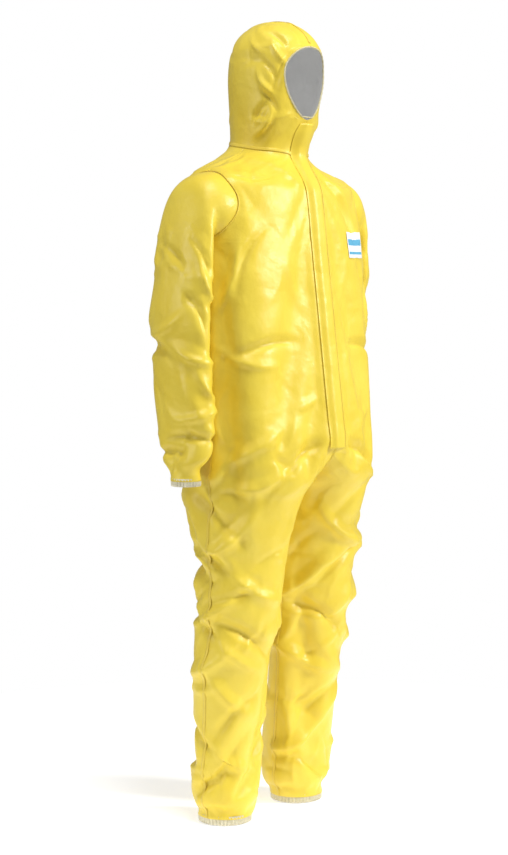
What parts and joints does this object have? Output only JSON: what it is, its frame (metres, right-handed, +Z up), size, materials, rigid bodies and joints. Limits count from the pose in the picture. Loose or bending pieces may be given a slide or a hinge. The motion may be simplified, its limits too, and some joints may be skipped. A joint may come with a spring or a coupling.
{
  "type": "chemical protective suit",
  "caption": "Hooded one-piece protective coverall with an elastic face opening, elastic cuffs and hems, and a front zip under a storm flap.",
  "frame": {"origin": "middle of the neck, level with the neck seam", "axes": "+Z up along the wearer, -Y out of the front, +X to the wearer's left"},
  "size_m": [0.662, 0.3333, 1.7774],
  "materials": {
    "film": "smooth yellow laminated film, semi-gloss",
    "tape": "welded yellow seam tape",
    "elastic": "off-white elastic in a narrow binding",
    "adhesive": "double-sided tape",
    "zip_tape": "woven polyester tape",
    "zip_plastic": "moulded polyamide",
    "label": "printed white label with blue bands"
  },
  "bodies": {
    "suit": {"hood_right": "film", "hood_left": "film", "front_right": "film", "front_left": "film", "back_right": "film", "back_left": "film", "zip_tape_right": "zip_tape", "zip_tape_left": "zip_tape", "zip_teeth_right": "zip_plastic", "zip_teeth_left": "zip_plastic", "zip_top_stops": "zip_plastic", "zip_bottom_stop": "zip_plastic", "face_elastic": "elastic", "ankle_elastic_right": "elastic", "ankle_elastic_left": "elastic", "waist_elastic": "elastic", "hood_seam": "tape", "neck_seam_right": "tape", "neck_seam_left": "tape", "centre_back_seam": "tape", "side_seam_right": "tape", "side_seam_left": "tape", "inseam_right": "tape", "inseam_left": "tape", "chest_label": "label", "care_label": "label"},
    "storm_flap": {"storm_flap": "film", "flap_adhesive": "adhesive"},
    "zip_slider": {"zip_slider": "zip_plastic"},
    "zip_pull": {"zip_pull": "zip_plastic"},
    "sleeve_right": {"sleeve_right": "film", "wrist_elastic_right": "elastic"},
    "sleeve_left": {"sleeve_left": "film", "wrist_elastic_left": "elastic"}
  },
  "joints": [
    {"name": "flap_open", "type": "hinge", "parent": "suit", "child": "storm_flap", "pos_m": [0.028, -0.1197, -0.1], "axis": [0, 0.1249, 0.9922], "range_deg": [0, 150]},
    {"name": "zip_slide", "type": "slide", "parent": "suit", "child": "zip_slider", "axis": [0, -0.1249, -0.9922], "range_m": [0, 0.5]},
    {"name": "pull_swing", "type": "hinge", "parent": "zip_slider", "child": "zip_pull", "pos_m": [0, -0.12057, -0.11076], "axis": [-1, 0, 0], "range_deg": [0, 120]},
    {"name": "sleeve_raise_right", "type": "hinge", "parent": "suit", "child": "sleeve_right", "pos_m": [-0.205, 0.005, -0.14], "axis": [0, 1, 0], "range_deg": [0, 75]},
    {"name": "sleeve_raise_left", "type": "hinge", "parent": "suit", "child": "sleeve_left", "pos_m": [0.205, 0.005, -0.14], "axis": [0, -1, 0], "range_deg": [0, 75]}
  ],
  "couplings": [
    {"joint": "pull_swing", "follows": "flap_open", "ratio": 0.8}
  ]
}
